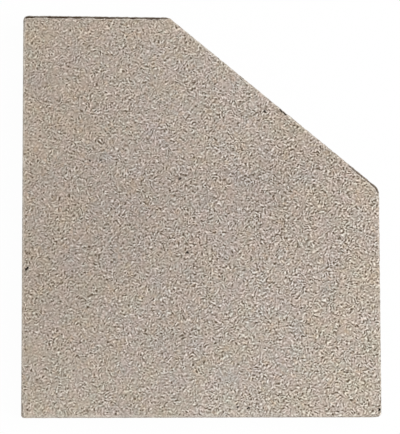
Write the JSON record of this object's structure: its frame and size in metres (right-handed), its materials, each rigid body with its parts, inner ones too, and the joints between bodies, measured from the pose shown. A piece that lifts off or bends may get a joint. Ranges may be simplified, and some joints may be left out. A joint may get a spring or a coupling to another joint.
{
  "type": "stove side brick",
  "caption": "Flat refractory slab with one upper corner cut off on a slope, lining the side wall of a wood stove's firebox.",
  "frame": {"origin": "middle of the bounding rectangle, on the back face that the brick lies on", "axes": "+X to the front edge of the brick, +Y to its top edge, +Z out of the fire face"},
  "size_m": [0.223, 0.25, 0.025],
  "materials": {
    "vermiculite": "matte"
  },
  "bodies": {
    "root": {"side_brick": "vermiculite"}
  },
  "joints": []
}
